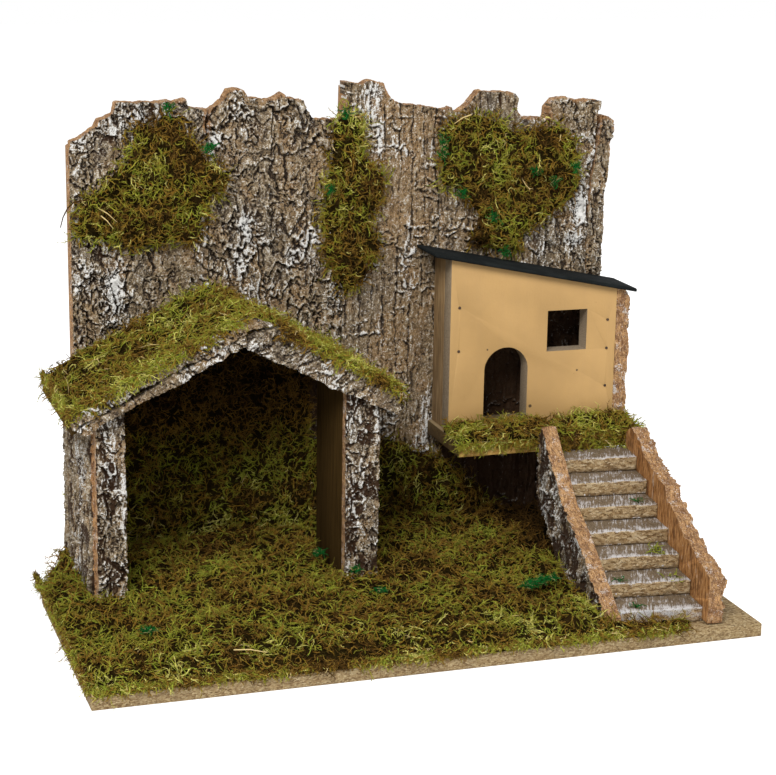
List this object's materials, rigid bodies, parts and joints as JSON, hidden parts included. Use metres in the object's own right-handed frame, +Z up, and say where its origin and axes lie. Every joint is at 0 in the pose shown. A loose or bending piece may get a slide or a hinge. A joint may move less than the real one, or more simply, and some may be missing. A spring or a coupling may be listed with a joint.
{
  "type": "nativity stable",
  "caption": "Nativity stable: bark-clad back wall, open mossy stable with a pitched roof, and a small house on a platform reached by a stair, all on a chipboard base.",
  "frame": {"origin": "centre of the base board's underside, which the whole object rests on", "axes": "+X to the viewer's right along the base's long side, +Y to the back wall, +Z up"},
  "size_m": [0.5, 0.3, 0.385],
  "materials": {
    "chipboard": "raw chipboard, speckled tan flakes, sawn edges",
    "panel": "raw hardboard",
    "bark": "rough fissured bark, dry-brushed white on its ridges, sawn edges orange-brown",
    "bare_wood": "plain sawn board, dark stained",
    "moss": "matted dry moss, olive and yellow-green fibres",
    "plaster": "smooth board painted ochre tan, matt",
    "house_side": "brown stained wood",
    "slate": "thin board painted dark slate grey, satin",
    "tread": "wood blocks brushed with white and grey",
    "nail": "small browned steel nails"
  },
  "bodies": {
    "root": {"back_bark_1": "bark", "back_bark_2": "bark", "back_bark_3": "bark", "back_bark_4": "bark", "back_bark_5": "bark", "back_bark_6": "bark", "back_panel": "panel", "base_board": "chipboard", "floor_moss": "moss", "house_front": "plaster", "house_left_wall": "house_side", "house_nail_1": "nail", "house_nail_2": "nail", "house_nail_3": "nail", "house_nail_4": "nail", "house_nail_5": "nail", "house_right_bark": "bark", "house_right_wall": "house_side", "house_roof": "slate", "platform_board": "chipboard", "platform_moss": "moss", "roof_board_left": "bare_wood", "roof_board_right": "bare_wood", "roof_fascia_left_lower": "bark", "roof_fascia_left_upper": "bark", "roof_fascia_right": "bark", "roof_moss": "moss", "stable_back_moss": "moss", "stable_left_post": "bark", "stable_left_wall": "bark", "stable_right_post": "bark", "stable_right_wall": "bare_wood", "stair_stringer_left": "bark", "stair_stringer_right": "bark", "stair_tread_1": "tread", "stair_tread_2": "tread", "stair_tread_3": "tread", "stair_tread_4": "tread", "stair_tread_5": "tread", "stair_tread_6": "tread", "stair_tread_7": "tread", "wall_foot_moss": "moss", "wall_moss_left": "moss", "wall_moss_middle": "moss", "wall_moss_right": "moss"}
  },
  "joints": []
}
